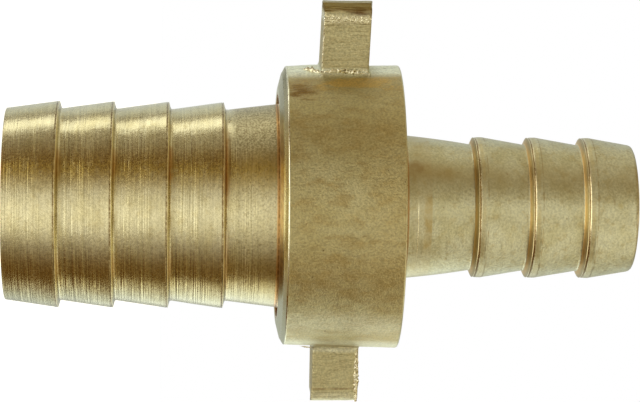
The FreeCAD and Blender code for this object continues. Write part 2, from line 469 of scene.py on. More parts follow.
class NutMesh:
    """The nut's barrel as a closed grid with two patches opened, and a lug grown out of each."""

    def __init__(self):
        outline = nut_outline()
        self.z, self.r = outline.T
        self.angles = nut_angles()
        self.columns = len(self.angles)
        self.verts = turned_grid(outline, self.angles, nut_radius).reshape(-1, 3).tolist()
        self.faces = ring_faces(len(outline), self.columns)
        self.barrel = nut_r - NUT_DRAFT / 2

    def open_patch(self, centre_deg, centre_z):
        """Takes the faces under a lug away and gives the rows and columns around them."""
        half_z = LUG_HALF_WIDTH + 0.3 * LUG_FOOT_ROUND + 0.05
        off = (np.degrees(self.angles) - centre_deg + 180) % 360 - 180
        columns = [int(j) for j in np.argsort(off) if abs(off[j]) < LUG_REACH_DEG + 0.01]
        under = (self.r > self.barrel - 0.3) & (np.abs(self.z - centre_z) < half_z)
        rows = [int(i) for i in np.flatnonzero(under)]
        taken = {(i, j) for i in rows[:-1] for j in columns[:-1]}
        self.faces = [f for f in self.faces if divmod(f[0], self.columns) not in taken]
        return rows, columns

    def grow(self, side, centre_z, reach, lean, tip_round, torn_round):
        """side is 1 for the lug along +X and -1 for the other. torn_round is the radius of its near, upper edge."""
        rows, columns = self.open_patch(0.0 if side > 0 else 180.0, centre_z)
        across = len(columns) - 1
        along = len(rows) - 1
        edge = [(0, j) for j in range(across)] + [(i, across) for i in range(along)]
        edge += [(along, j) for j in range(across, 0, -1)] + [(i, 0) for i in range(along, 0, -1)]
        height = reach - self.barrel
        last = [rows[i] * self.columns + columns[j] for i, j in edge]

        def place(i, j, up, grow_y, grow_z, on_edge):
            a, b = 2 * j / across - 1, 2 * i / along - 1
            half_y, half_z = LUG_HALF_THICK + grow_y, LUG_HALF_WIDTH + grow_z
            y, z = a * half_y, b * half_z
            if on_edge:
                radius = torn_round if b > 0 and side * a < 0 else LUG_EDGE_ROUND
                y, z = rounded_rectangle(a, b, half_y, half_z, radius)
            share = up / height
            x = up + (1 - share) * math.sqrt(self.barrel ** 2 - y * y) + share * self.barrel
            tilt = (x - self.barrel) * math.tan(lean)
            if side < 0 and b > 0:
                z += LEFT_FAR_WIDER * b * max(0.0, side * a)
            if side > 0 and b < 0:
                z += RIGHT_TIP_FLARE * b * max(0.0, -a) * min(1.0, max(0.0, 3 * share - 2))
            to_far = max(0.0, -TIP_LEAN_TO_FAR * grow_y)
            self.verts.append([side * x, side * y + to_far, centre_z + z + tilt])
            return len(self.verts) - 1

        for up, grow_y, grow_z in lug_rings(height, tip_round):
            ring = [place(i, j, up, grow_y, grow_z, True) for i, j in edge]
            for k in range(len(edge)):
                n = (k + 1) % len(edge)
                self.faces.append((last[k], last[n], ring[n], ring[k]))
            last = ring
        cap = dict(zip(edge, last))
        for i in range(1, along):
            for j in range(1, across):
                cap[i, j] = place(i, j, height, -tip_round, -LUG_END_ROUND, False)
        for i in range(along):
            for j in range(across):
                self.faces.append((cap[i, j], cap[i, j + 1], cap[i + 1, j + 1], cap[i + 1, j]))

    def forge(self):
        """Drops the vertices under the lugs and gives the outside its unevenness and the swelling at the left lug."""
        used = sorted({v for f in self.faces for v in f})
        renumber = {old: new for new, old in enumerate(used)}
        self.faces = [tuple(renumber[v] for v in f) for f in self.faces]
        verts = np.array([self.verts[v] for v in used])
        x, y, z = verts.T
        r = np.hypot(x, y)

        def swelling(height, share, middle_y, wide, above):
            bell = np.exp(-((y - middle_y) / wide) ** 2)
            return height * share * bell * (x < 0) * (r < self.barrel + above)

        below_lug = z < LEFT_LUG_Z
        lug_edge = LEFT_LUG_Z - LUG_HALF_WIDTH
        lift = 0.035 * wave(verts, 3.1, 2) + 0.014 * wave(verts, 0.9, 3)
        lift += swelling(0.08, np.clip((z - LEFT_LUG_Z + 5) / 2, 0, 1) * below_lug, 3.0, 4.0, 0.4)
        lift += swelling(0.13, np.clip((LEFT_LUG_Z - z) / 2, 0, 1), 3.0, 5.0, 0.4)
        lift += swelling(0.12, np.clip((z - (lug_edge - 1.6)) / 1.2, 0, 1) * below_lug, -1.4, 0.5, 0.6)
        outside = (r > self.barrel - 0.4) * np.clip((z - nut_low - 0.5) / 0.5, 0, 1) * (z < nut_high - 0.1)
        out = np.stack([x / r, y / r, np.zeros_like(r)], axis=-1)
        self.verts = verts + out * (lift * outside)[:, None]


def union_nut(forged, machined):
    """Nut with two lugs: forged outside, machined nose, faces, hole and thread."""
    nut = NutMesh()
    nut.grow(-1, LEFT_LUG_Z, left_reach, LEFT_LUG_LEAN, LEFT_TIP_ROUND, LUG_EDGE_ROUND)
    nut.grow(1, RIGHT_LUG_Z, right_reach, 0.0, RIGHT_TIP_ROUND, TORN_EDGE_ROUND)
    nut.forge()
    x, y, z = np.array([nut.verts[list(f)].mean(0) for f in nut.faces]).T
    rough = (np.hypot(x, y) > nut.barrel - 0.25) & (z > nut_low + NUT_NOSE_LENGTH + 0.1) & (z < nut_high - 0.12)
    return smooth_mesh("nut_forged", nut.verts, nut.faces, [forged, machined], np.where(rough, 0, 1).tolist())


def picture_spot(around_deg, height, radius):
    """Place in millimetres at an angle around the axis from the camera towards the picture's top."""
    around = math.radians(around_deg)
    return radius * (math.cos(around) * TOWARDS + math.sin(around) * UP) + height * RIGHT


# Across and up, in shares of a burr's half width and height
BURR_PROFILE = ((-1, -0.6), (-0.75, 0.25), (-0.3, 0.8), (0.1, 1.0), (0.45, 0.6), (0.8, 0.2), (1, -0.6))


def burr(name, path, width, height, material, seed, step=0.06):
    """Torn ridge along a path of (place, outward direction), jagged in height and width."""
    spots, outs = [], []
    for (start, out_start), (end, out_end) in zip(path, path[1:]):
        pieces = max(1, round((end - start).length / step))
        for piece in range(pieces):
            spots.append(start.lerp(end, piece / pieces))
            outs.append(out_start.lerp(out_end, piece / pieces).normalized())
    spots.append(path[-1][0])
    outs.append(path[-1][1].normalized())
    count, wide = len(spots), len(BURR_PROFILE)
    verts, faces = [], []
    for i, (spot, out) in enumerate(zip(spots, outs)):
        run = (spots[min(i + 1, count - 1)] - spots[max(i - 1, 0)]).normalized()
        side = run.cross(out)
        fade = min(1.0, 2.5 * min(i, count - 1 - i) / count + 0.05)
        rough = [noise.noise(Vector((i * step / 0.2, 3.7 * k, seed))) for k in range(wide)]
        for k, (across, up) in enumerate(BURR_PROFILE):
            lift = up if abs(across) == 1 else up * (0.7 + 1.7 * rough[k])
            sway = across * (1 + 0.5 * rough[wide - 1 - k])
            verts.append(spot + side * (sway * width / 2 * (0.4 + 0.6 * fade)) + out * (lift * height * fade))
    for i in range(count - 1):
        for k in range(wide):
            a, b = i * wide + k, i * wide + (k + 1) % wide
            faces.append((a, b, b + wide, a + wide))
    faces.append(tuple(range(wide)))
    faces.append(tuple(range(len(verts) - 1, len(verts) - wide - 1, -1)))
    return smooth_mesh(name, [v[:] for v in verts], faces, [material])


def flash(material):
    """What is left of the forging's flash, at the foot and the near edge of the left lug and beside the right one."""
    lean = math.tan(LEFT_LUG_LEAN)
    barrel = nut_r - NUT_DRAFT / 2
    left_low = LEFT_LUG_Z - LUG_HALF_WIDTH
    right_low = RIGHT_LUG_Z - LUG_HALF_WIDTH
    torn_z = RIGHT_LUG_Z + LUG_HALF_WIDTH - 0.2
    near = -LUG_HALF_THICK

    def at_foot(*steps):
        """Path along the left lug's near foot, through heights above its lower edge and lifts off the barrel."""
        return [(Vector((0.02 - barrel - lift, near - 0.03, left_low + up)), Vector((-0.5, -1, 0)))
                for up, lift in steps]

    beside = [(picture_spot(around, left_low + up, barrel + 0.05), Vector((-1, -0.3, 0)))
              for around, up in ((75, -1.75), (72, -0.9), (69, 0.1))]
    foot = at_foot((-0.1, 0.02), (1.2, 0.12), (2.4, 0.05), (3.6, -0.06), (4.85, -0.16))
    strand = at_foot((1.0, 0.3), (1.5, 0.22), (2.3, 0.3), (3.2, 0.14), (4.2, 0.24), (4.7, 0.02))
    edge = [(Vector((-x, near + 0.01, left_low + (x - barrel) * lean + 0.03)), Vector((0, -1, -0.5)))
            for x in (barrel + 0.5, barrel + 2.5, left_reach - 1.0)]
    fin = [(Vector((barrel - 0.26, -2.8, right_low - 1.35)), Vector((1, -0.25, 0))),
           (Vector((barrel - 0.1, -2.85, right_low + 0.1)), Vector((1, -0.25, 0)))]
    torn = [(Vector((x, near + 0.14, torn_z)), Vector((0, -1, 0.6)))
            for x in (barrel + 0.05, barrel + 3.0, right_reach - 0.15)]
    return [
        burr("flash_beside", beside, 0.5, 0.34, material, 1.0),
        burr("flash_foot", foot, 0.38, 0.28, material, 2.0),
        burr("flash_strand", strand, 0.22, 0.16, material, 6.0),
        burr("flash_edge", edge, 0.16, 0.06, material, 3.0),
        burr("flash_fin", fin, 0.1, 0.1, material, 4.0, 0.3),
        burr("flash_torn", torn, 0.66, 0.26, material, 5.0),
    ]


# ---------------------------------------------------------------- shader nodes


def feed(tree, socket, value):
    """Gives an input its value: another node's output, a number, a vector or a colour."""
    if isinstance(value, Value):
        tree.links.new(value.socket, socket)
    elif socket.type == "RGBA" and len(value) == 3:
        socket.default_value = (*value, 1.0)
    else:
        socket.default_value = value


def node(tree, kind, inputs=None, output=0, **settings):
    """Adds a shader node and gives one of its outputs, if it has any."""
    made = tree.nodes.new("ShaderNode" + kind)
    for key, value in settings.items():
        setattr(made, key, value)
    for key, value in (inputs or {}).items():
        feed(tree, made.inputs[key], value)
    return Value(tree, made.outputs[output]) if made.outputs else None


class Value:
    """What a node gives: a number, a vector or a colour. Arithmetic with it adds nodes."""

    def __init__(self, tree, socket):
        self.tree, self.socket = tree, socket

    def math(self, operation, other=0.0):
        return node(self.tree, "Math", {0: self, 1: other}, operation=operation)

    def __add__(self, other):
        return self.math("ADD", other)

    def __sub__(self, other):
        return self.math("SUBTRACT", other)

    def __mul__(self, other):
        return self.math("MULTIPLY", other)

    def __truediv__(self, other):
        return self.math("DIVIDE", other)

    def __abs__(self):
        return self.math("ABSOLUTE")

    def rest(self):
        """1 less this."""
        return node(self.tree, "Math", {0: 1.0, 1: self}, operation="SUBTRACT")

    def ramp(self, low, high, to_low=0.0, to_high=1.0):
        """Maps low..high smoothly onto to_low..to_high, clamped."""
        inputs = {"Value": self, "From Min": low, "From Max": high, "To Min": to_low, "To Max": to_high}
        return node(self.tree, "MapRange", inputs, "Result", interpolation_type="SMOOTHSTEP")

    def fall(self, low, high):
        """1 up to low, falling smoothly to 0 at high."""
        return self.ramp(low, high, 1.0, 0.0)

    def peak(self, centre, half_width):
        """1 at centre, falling smoothly to 0 at half_width on both sides."""
        return abs(self - centre).fall(0.0, half_width)

    def vector(self, operation, other, output=0):
        return node(self.tree, "VectorMath", {0: self, 1: tuple(other)}, output, operation=operation)

    def scaled(self, factor):
        return node(self.tree, "VectorMath", {0: self, "Scale": factor}, operation="SCALE")

    def length(self):
        return node(self.tree, "VectorMath", {0: self}, "Value", operation="LENGTH")

    def axis(self, letter):
        return node(self.tree, "SeparateXYZ", {0: self}, letter)

    def around_picture(self):
        """Angle of a place around the axis in degrees, 0 facing the camera and 90 at the picture's top."""
        up = self.vector("DOT_PRODUCT", UP, "Value")
        near = self.vector("DOT_PRODUCT", TOWARDS, "Value")
        return up.math("ARCTAN2", near) * math.degrees(1)


def highest(first, second):
    return first.math("MAXIMUM", second)


def blend(share, first, second, kind="MIX"):
    """Colour mix: none of second where share is 0."""
    settings = {"data_type": "RGBA", "blend_type": kind, "clamp_factor": True}
    return node(share.tree, "Mix", {0: share, 6: first, 7: second}, 2, **settings)


def emptied(tree):
    tree.nodes.clear()
    return tree


class Coat:
    """A material of one Principled shader, its colour laid on in layers. Places are in millimetres."""

    def __init__(self, name, metallic=1.0):
        self.material = bpy.data.materials.new(name)
        self.material.use_nodes = True
        self.tree = emptied(self.material.node_tree)
        surface = node(self.tree, "BsdfPrincipled", {"Metallic": metallic})
        self.inputs = surface.socket.node.inputs
        node(self.tree, "OutputMaterial", {"Surface": surface})
        self.mm = node(self.tree, "TexCoord", output="Object").scaled(1 / MM)
        self.colour = None

    def set(self, name, value):
        feed(self.tree, self.inputs[name], value)

    def noise(self, stretch, detail=2.0, roughness=0.5, offset=0.0):
        """Noise; stretch is how many cells there are in a millimetre, in all or in each direction."""
        stretch = stretch if isinstance(stretch, tuple) else (stretch,) * 3
        spot = self.mm.vector("MULTIPLY", stretch).vector("ADD", (offset,) * 3)
        inputs = {"Vector": spot, "Scale": 1.0, "Detail": detail, "Roughness": roughness}
        return node(self.tree, "TexNoise", inputs, "Fac")

    def spot(self, place, stretch, reach, wobble, low=0.0):
        """1 at a place, falling to 0 at its reach, with an uneven rim."""
        far = self.mm.vector("SUBTRACT", place).vector("MULTIPLY", stretch).length()
        far = far + wobble.ramp(0.3, 0.7, 0.35 * reach, -0.35 * reach)
        return far.fall(low * reach, reach)

    def base(self, share, first, second):
        self.colour = blend(share, first, second)

    def layer(self, share, colour):
        self.colour = blend(share, self.colour, colour)

    def shade(self, grain, low, high):
        """Darkens and lightens the colour with a fine grain."""
        self.colour = self.colour.scaled(grain.ramp(0.3, 0.7, low, high))

    def gloss_along_axis(self, amount):
        """Draws the gloss out along the axis, across the rings left by the tool."""
        self.set("Tangent", node(self.tree, "Tangent", direction_type="RADIAL", axis="Z"))
        self.set("Anisotropic", amount)
        self.set("Anisotropic Rotation", 0.25)

    def bump(self, *heights):
        """Chains bumps; heights are (value, depth in millimetres)."""
        inputs = {"Strength": 1.0}
        for height, depth in heights:
            inputs.update({"Height": height, "Distance": depth * MM})
            inputs["Normal"] = node(self.tree, "Bump", inputs)
        self.set("Normal", inputs["Normal"])

    def finished(self, roughness):
        self.set("Base Color", self.colour)
        self.set("Roughness", roughness)
        return self.material


# ---------------------------------------------------------------- materials


def turned_brass():
    """Satin brass with rings from the tool, brown in the roots of the barbs, partly as stain and partly as painted
    shade. It also has painted shade in stripes along it, near its contours, in the crest grooves and on the rise
    before the nut, a painted copper reflection in the gap at the nut and a painted highlight on each crest.
    """
    coat = Coat("turned_brass")
    height, around = coat.mm.axis("Z"), coat.mm.around_picture()
    phase = (height / LARGE_PITCH).math("FRACT")
    rings = coat.noise((0.06, 0.06, 5.0), roughness=0.7)
    grain = coat.noise(5.0, 3.0, 0.65)
    patch = coat.noise((1.4, 1.4, 1.8), 3.0, offset=30.0)
    blotch = coat.noise((0.3, 0.3, 0.5), 3.0)
    speck = coat.noise(2.6, offset=40.0)

    # Brown to copper in the barbs' roots, in two spots that widen towards the nut: partly a copper stain, partly
    # painted shade in the roots, strongest where the tail's dark stripes lie
    reach = height.ramp(14.0, 23.0, 13.0, 34.0)
    upper = (abs(around - 25.0) / reach).fall(0.3, 1.0)
    lower = (abs(around + 38.0) / reach).ramp(0.3, 1.0, 0.6, 0.0)
    spots = highest(highest(upper, lower), 0.12) * patch.ramp(0.3, 0.5, 0.5, 1.0)
    root = (phase + 0.5).math("FRACT").peak(0.49, 0.1) * spots
    root_stain_and_shade = root * height.ramp(8.0, 23.0, 0.6, 1.0)
    # Painted copper reflection on the tail in the shaded gap under the nut
    painted_gap_reflection = height.ramp(nut_low - 0.24, nut_low - 0.02) * height.fall(nut_low + 2.0, nut_low + 3.0)

    # Painted shade in the groove before each crest, and a painted highlight on each crest
    line = phase.peak(0.9385, 0.03) * speck.ramp(0.35, 0.6, 0.5, 1.0)
    gold = phase.peak(0.9665, 0.02)

    # The rise before the nut is rougher and painted darker on its upper side as shade; painted shade runs in dark
    # stripes along the whole tail and near its contours
    beside_nut = height.ramp(22.2, 23.4)
    dull_and_painted_shade = beside_nut * (around.ramp(20.0, 45.0, 0.25, 1.0) * around.ramp(100.0, 150.0, 1.0, 0.25))
    painted_dark_bands = highest(around.peak(21.5, 17.0), around.peak(-44.0, 20.0) * 0.75)
    painted_contour_shade = highest(around.peak(-72.0, 15.0) * 0.6, around.peak(81.0, 13.0) * 0.35)
    painted_shade = blend(grain.ramp(0.35, 0.65), (0.22, 0.17, 0.07), (0.62, 0.56, 0.34))
    painted_shade = blend(painted_dark_bands * 0.75, painted_shade, (0.34, 0.22, 0.06))

    coat.base(blotch.ramp(0.35, 0.7), (0.65, 0.6, 0.375), (0.6, 0.54, 0.305))
    coat.layer(painted_dark_bands * patch.ramp(0.3, 0.6, 0.75, 1.0), (0.51, 0.365, 0.095))
    coat.layer(patch.ramp(0.52, 0.75, 0.0, 0.4), (0.45, 0.37, 0.17))
    coat.layer(speck.ramp(0.66, 0.85, 0.0, 0.5), (0.3, 0.22, 0.09))
    coat.layer(painted_contour_shade, (0.43, 0.4, 0.24))
    coat.shade(grain, 0.84, 1.14)
    coat.shade(rings, 0.9, 1.1)
    # Painted shade on the rougher rise before the nut
    coat.layer(dull_and_painted_shade * 0.8, painted_shade)
    coat.layer(root_stain_and_shade * 0.9, (0.4, 0.19, 0.045))
    coat.layer(painted_gap_reflection * 0.9, (0.72, 0.4, 0.13))
    coat.layer(gold * 0.85, (0.97, 0.85, 0.5))
    coat.layer(line * 0.9, (0.17, 0.1, 0.025))
    coat.gloss_along_axis(0.5)
    ring_share = phase.ramp(0.45, 0.8, 1.0, 0.3)
    coat.bump((rings * ring_share, 0.055), (grain, 0.005), (dull_and_painted_shade * grain, 0.03), (patch, 0.016))
    return coat.finished(grain.ramp(0.3, 0.7, 0.23, 0.31) + highest(root, dull_and_painted_shade) * 0.15)


def matte_brass():
    """Tumbled brass, olive grey, worn to gold on the crests, which also carry painted highlights. It has painted shade
    on its upper side, in the crest grooves, on the lands' lower side and where the neck goes into the nut, a painted
    warm reflection on the barbs' backs and painted highlights on the neck and the tip's edge.
    """
    coat = Coat("matte_brass")
    height, around = coat.mm.axis("Z"), coat.mm.around_picture()
    neck_end = boss_low + BOSS_LENGTH + NECK_LENGTH
    phase = ((height - neck_end) / SMALL_PITCH).math("FRACT")
    past_neck = height.ramp(neck_end - 0.4, neck_end)
    rings = coat.noise((0.05, 0.05, 3.0), 3.0, 0.6)
    grain = coat.noise(4.5, 3.0, 0.6)
    patch = coat.noise((1.1, 1.1, 1.3), 3.0, offset=30.0)
    blotch = coat.noise((0.28, 0.28, 0.35), 4.0, offset=7.0)
    pits = coat.noise(1.9, 1.0, offset=13.0)

    # Crests: worn bright and painted with a highlight in front, with painted shade in their groove, a painted warm
    # reflection on their backs, a brown tint beside them, and painted shade on the lands' lower side
    crest_wear_and_highlight = phase.peak(0.085, 0.045) * past_neck
    crest_wear_and_highlight = crest_wear_and_highlight * (around.ramp(23.0, 31.0, 1.0, 0.45) * around.ramp(-60.0, -38.0, 0.15, 1.0))
    painted_slit_shade = phase.peak(0.0865, 0.017) * past_neck
    back = phase.peak(0.01, 0.07) * past_neck * blotch.ramp(0.3, 0.6, 0.75, 1.0)
    beside = phase.peak(0.155, 0.06) * past_neck * 0.4 * blotch.ramp(0.3, 0.6, 0.4, 1.0)
    orange_brown_colour = blend(phase.ramp(0.09, 0.12), (1.0, 0.7, 0.3), (0.6, 0.46, 0.2))
    edge_stain = phase.peak(0.236, 0.015) * past_neck * patch.ramp(0.4, 0.55, 0.0, 0.6)
    land = phase.ramp(0.085, 0.1) * phase.fall(0.225, 0.24) * past_neck
    painted_land_shade = land * around.ramp(-66.0, -36.0, 0.8, 0.0)

    # Neck: painted copper shade where it goes into the nut, then a worn stretch with a band, a painted highlight line
    # and a spot
    painted_nut_gap_shade = height.ramp(nut_high - 0.6, nut_high - 0.4) * height.fall(nut_high + 0.65, nut_high + 0.8)
    worn = height.fall(*NECK_WORN_END_Z) * height.ramp(nut_high + 0.6, nut_high + 1.2)
    front = around.ramp(-40.0, -32.0) * around.fall(4.0, 14.0)
    neck_band = worn * front * height.ramp(*NECK_BAND_Z) * patch.ramp(0.35, 0.6, 0.35, 0.9)
    painted_neck_glint = height.peak(NECK_GLINT_Z, 0.075) * (around.ramp(-48.0, -36.0) * around.fall(-4.0, 6.0))
    neck_spot = coat.spot(picture_spot(*NECK_SPOT, NECK_R), (1.0, 1.0, 0.8), 1.2, patch)
    # Painted shade: a darker stripe along the upper side of the tail and of its neck
    painted_upper_shade = around.peak(26.0, 24.0) * blotch.ramp(0.3, 0.6, 0.35, 0.9)
    painted_neck_shade = around.peak(29.0, 13.0) * height.ramp(44.0, 46.0, 0.6, 0.0)
    # Painted highlight on the tip's rounded edge, in front
    painted_tip_highlight = height.peak(small_top - 0.14, 0.14) * around.peak(-9.0, 9.0)

    coat.base(blotch.ramp(0.38, 0.66), (0.58, 0.56, 0.38), (0.52, 0.485, 0.29))
    coat.layer(patch.ramp(0.5, 0.75, 0.0, 0.6), (0.44, 0.37, 0.18))
    coat.layer(pits.ramp(0.7, 0.8, 0.0, 0.6), (0.3, 0.23, 0.12))
    coat.shade(grain, 0.82, 1.16)
    coat.layer(painted_upper_shade * 0.55, (0.42, 0.33, 0.16))
    coat.layer(worn * 0.25, (0.5, 0.4, 0.22))
    coat.layer(painted_neck_shade, (0.38, 0.27, 0.09))
    coat.layer(neck_band, (0.46, 0.36, 0.16))
    coat.layer(neck_spot * 0.75, (0.34, 0.24, 0.1))
    coat.layer(painted_neck_glint * 0.85, (0.95, 0.88, 0.62))
    coat.layer(painted_nut_gap_shade * 0.85, (0.4, 0.19, 0.06))
    coat.layer(highest(back, beside) * 0.85, orange_brown_colour)
    coat.layer(painted_tip_highlight, (1.0, 0.95, 0.75))
    coat.layer(edge_stain, (0.3, 0.19, 0.07))
    coat.layer(painted_land_shade, (0.33, 0.29, 0.16))
    coat.layer(crest_wear_and_highlight * 0.85, (1.0, 0.86, 0.52))
    coat.layer(painted_slit_shade * 0.92, (0.22, 0.12, 0.03))
    coat.gloss_along_axis(0.35)
    coat.bump((rings, 0.015), (grain, 0.03), (patch, 0.04))
    return coat.finished(grain.ramp(0.3, 0.7, 0.35, 0.45) - highest(crest_wear_and_highlight, painted_neck_glint) * 0.23)


def forged_brass():
    """Blasted forging with a fine grain, short scratches along the axis and a brown stain beside the left lug. Painted
    shade lies in stripes along it, by the left lug, on that lug's tip and at the right lug's foot; painted pale
    reflections lie near its contours and on the lug tips, and painted highlights below the left lug's tip and on a
    ridge at the right lug's foot.
    """
    coat = Coat("forged_brass")
    height, around = coat.mm.axis("Z"), coat.mm.around_picture()
    across, depth = coat.mm.axis("X"), coat.mm.axis("Y")
    grain = coat.noise((5.0, 5.0, 4.5), 3.0, 0.7)
    wrinkle = coat.noise((2.2, 2.2, 0.6), 4.0, 0.65, 21.0)
    brushed = coat.noise((4.5, 4.5, 0.35), 3.0, 0.6, 5.0)
    patch = coat.noise((0.9, 0.9, 0.5), 4.0, 0.6, 11.0)
    blotch = coat.noise((0.16, 0.16, 0.12), 4.0, 0.6, 3.0)
    pits = coat.noise((2.2, 2.2, 1.8), 1.0, offset=19.0)
    coarse = coat.noise(3.5, 1.0, offset=25.0)
    on_lug = abs(across).ramp(nut_r, nut_r + 0.5)
    off_lug = on_lug.rest()

    # Barrel: painted shade in brown stripes along it and painted pale reflections along its contours, a brown stain
    # beside the left lug and a painted copper-yellow shade cast by that lug
    upper_band = around.peak(58.0, 11.0) * height.ramp(35.0, 39.0, 1.0, 0.35)
    lower_band = highest(around.peak(-29.0, 17.0), around.peak(30.0, 12.0) * 0.6)
    painted_shade_bands = highest(upper_band, lower_band) * patch.ramp(0.3, 0.6, 0.6, 1.0) * off_lug
    pale_top = around.ramp(62.0, 70.0) * around.fall(95.0, 125.0)
    pale_low = around.ramp(-76.0, -68.0, 0.5, 0.0) * around.ramp(-125.0, -95.0)
    pale_low = highest(pale_low, around.peak(-55.0, 12.0) * 0.25)
    pale = highest(pale_top, pale_low) * off_lug * wrinkle.ramp(0.3, 0.7, 1.0, 0.7)
    brown = coat.spot(picture_spot(*BROWN_STAIN, nut_r), (1.0, 1.0, 0.75), 1.8, wrinkle)
    painted_lug_shade = coat.spot(picture_spot(*LUG_SHADE_SPOT, nut_r), (1.0, 1.0, 0.28), 1.5, patch, 0.3)
    pit = pits.ramp(0.77, 0.81) * off_lug

    # Left lug: a painted sparkling highlight below its tip, the tip painted brown as shade, with dark streaks, and its
    # far edge painted grey as a pale reflection
    left_tip = across.fall(-left_reach + 0.35, -left_reach + 0.6)
    tip_streak = coat.spot((-left_reach + 0.4, -3.0, 35.2), (1.0, 1.0, 0.4), 1.1, wrinkle)
    tip_dark = left_tip * brushed.ramp(0.52, 0.6, 0.0, 0.7)
    painted_far_reflection = left_tip * depth.ramp(0.6, 1.6)
    painted_sparkle = across.peak(-left_reach + 1.15, 0.75)

    # Right lug: a painted pale reflection towards its tip, a brown line across it, and painted brown shade at its foot
    # with a painted highlight on a ridge there
    painted_tip_reflection = across.ramp(right_reach - 1.4, right_reach - 0.8, 0.0, 0.5)
    right_line = across.peak(right_reach - 1.5, 0.14) * wrinkle.ramp(0.4, 0.6, 0.2, 0.8)
    off_centre = height - RIGHT_LUG_Z
    by_lug = abs(off_centre).fall(LUG_HALF_WIDTH - 0.2, LUG_HALF_WIDTH + 0.1)
    foot_height = across - off_centre * 0.07

    coat.base(blotch.ramp(0.36, 0.66), (0.5, 0.45, 0.25), (0.44, 0.375, 0.18))
    coat.layer(patch.ramp(0.42, 0.72, 0.0, 0.75), (0.37, 0.28, 0.11))
    coat.layer(wrinkle.ramp(0.58, 0.74, 0.0, 0.45), (0.27, 0.19, 0.07))
    coat.layer(painted_shade_bands * 0.55, (0.36, 0.25, 0.08))
    coat.layer(height.ramp(34.0, 38.5, 0.0, 0.35), (0.46, 0.36, 0.15))
    coat.layer(painted_lug_shade * 0.8, (0.6, 0.42, 0.13))
    coat.layer(pale, (0.86, 0.9, 0.74))
    coat.layer(brown, (0.22, 0.13, 0.035))
    coat.layer(brushed.ramp(0.5, 0.7, 0.0, 0.4) * on_lug, (0.36, 0.28, 0.12))
    coat.layer(on_lug * 0.55, (0.64, 0.6, 0.37))
    coat.layer(painted_tip_reflection, (0.72, 0.71, 0.52))
    coat.layer(foot_height.peak(FOOT_SHADE_X, 0.5) * (by_lug * 0.6), (0.4, 0.29, 0.11))
    coat.layer(foot_height.peak(FOOT_RIDGE_GLINT_X, 0.08) * (by_lug * 0.7), (0.85, 0.8, 0.58))
    coat.layer(left_tip * brushed.ramp(0.4, 0.6, 0.45, 1.0), (0.27, 0.19, 0.065))
    coat.layer(tip_streak, (0.16, 0.09, 0.03))
    coat.layer(tip_dark, (0.12, 0.07, 0.02))
    coat.layer(painted_far_reflection * 0.6, (0.6, 0.6, 0.52))
    coat.layer(right_line, (0.27, 0.16, 0.06))
    coat.layer(painted_sparkle * 0.7, (0.92, 0.87, 0.62))
    coat.shade(grain, 0.78, 1.2)
    coat.layer(pit * 0.8, (0.1, 0.06, 0.02))
    # The tip's gloss is tinted brown as painted shade, and grey at its far edge as a painted pale reflection
    tint = blend(left_tip, (1.0, 1.0, 1.0), (0.34, 0.24, 0.09))
    coat.set("Specular Tint", blend(painted_far_reflection * 0.7, tint, (0.75, 0.76, 0.66)))
    coat.bump((wrinkle, 0.035), (on_lug * brushed, 0.17), (grain, 0.075), (pit.rest(), 0.03), (painted_sparkle * coarse, 0.28))
    return coat.finished(grain.ramp(0.3, 0.7, 0.38, 0.5) - painted_sparkle * 0.2)


def torn_brass():
    """Bright torn metal where the forging's flash was cut away."""
    coat = Coat("torn_brass")
    grain = coat.noise(6.0)
    patch = coat.noise(2.0, offset=3.0)
    coat.base(patch.ramp(0.45, 0.65), (0.97, 0.93, 0.72), (0.75, 0.66, 0.4))
    coat.layer(grain.ramp(0.56, 0.62, 0.0, 0.9), (0.22, 0.15, 0.06))
    coat.bump((patch, 0.3), (grain, 0.06))
    return coat.finished(grain.ramp(0.3, 0.7, 0.25, 0.4))


def machined_brass():
    """The nut's nose, faces and thread: turned, with painted highlights on two edges, painted pale reflection on the
    nose's sides, and painted copper shade on the face in front, round the hole and on the hole's wall.
    """
    coat = Coat("machined_brass")
    height, around = coat.mm.axis("Z"), coat.mm.around_picture()
    radius = coat.mm.vector("MULTIPLY", (1.0, 1.0, 0.0)).length()
    grain = coat.noise(4.0, 3.0)
    speck = coat.noise(1.3, offset=9.0)
    face = nut_low + NUT_FACE_LIFT
    hole = large_crest_r + JOURNAL_STEP + NUT_HOLE_CLEARANCE
    # Painted light: the hole's wall, the face in front and the rim round the hole are painted copper as shade, the
    # nose's sides pale as reflection, and two edges bright as highlights
    inside = height.ramp(face + 0.02, face + 0.3) * height.fall(face + 0.2, face + 2.0) * radius.fall(11.5, 12.2)
    aside = abs(around).ramp(25.0, 55.0)
    in_front = abs(around + 2.0).ramp(14.0, 40.0, 1.0, 0.1)
    painted_shade = height.fall(face + 0.24, face + 0.3) * aside.ramp(0.0, 1.0, 0.85, 0.0)
    painted_shade = highest(painted_shade, radius.ramp(hole + 0.15, hole + 0.45, 0.9, 0.0))
    orange_brown_colour = blend(speck.ramp(0.4, 0.6), (0.62, 0.4, 0.15), (0.44, 0.26, 0.09))
    inner_edge = height.peak(face + 0.38, 0.14) * in_front
    outer_edge = height.peak(nut_low + NUT_NOSE_LENGTH - 0.02, 0.1) * speck.ramp(0.35, 0.6, 0.2, 0.85)
    edges = highest(outer_edge, inner_edge)

    coat.base(speck.ramp(0.4, 0.7), (0.62, 0.58, 0.35), (0.54, 0.47, 0.25))
    coat.layer(aside * 0.5, (0.7, 0.71, 0.52))
    coat.layer(painted_shade, orange_brown_colour)
    coat.layer(edges, (0.98, 0.94, 0.74))
    coat.layer(inside * 0.95, (0.38, 0.17, 0.03))
    coat.bump((grain, 0.006))
    return coat.finished(grain.ramp(0.3, 0.7, 0.27, 0.35) - edges * 0.15)


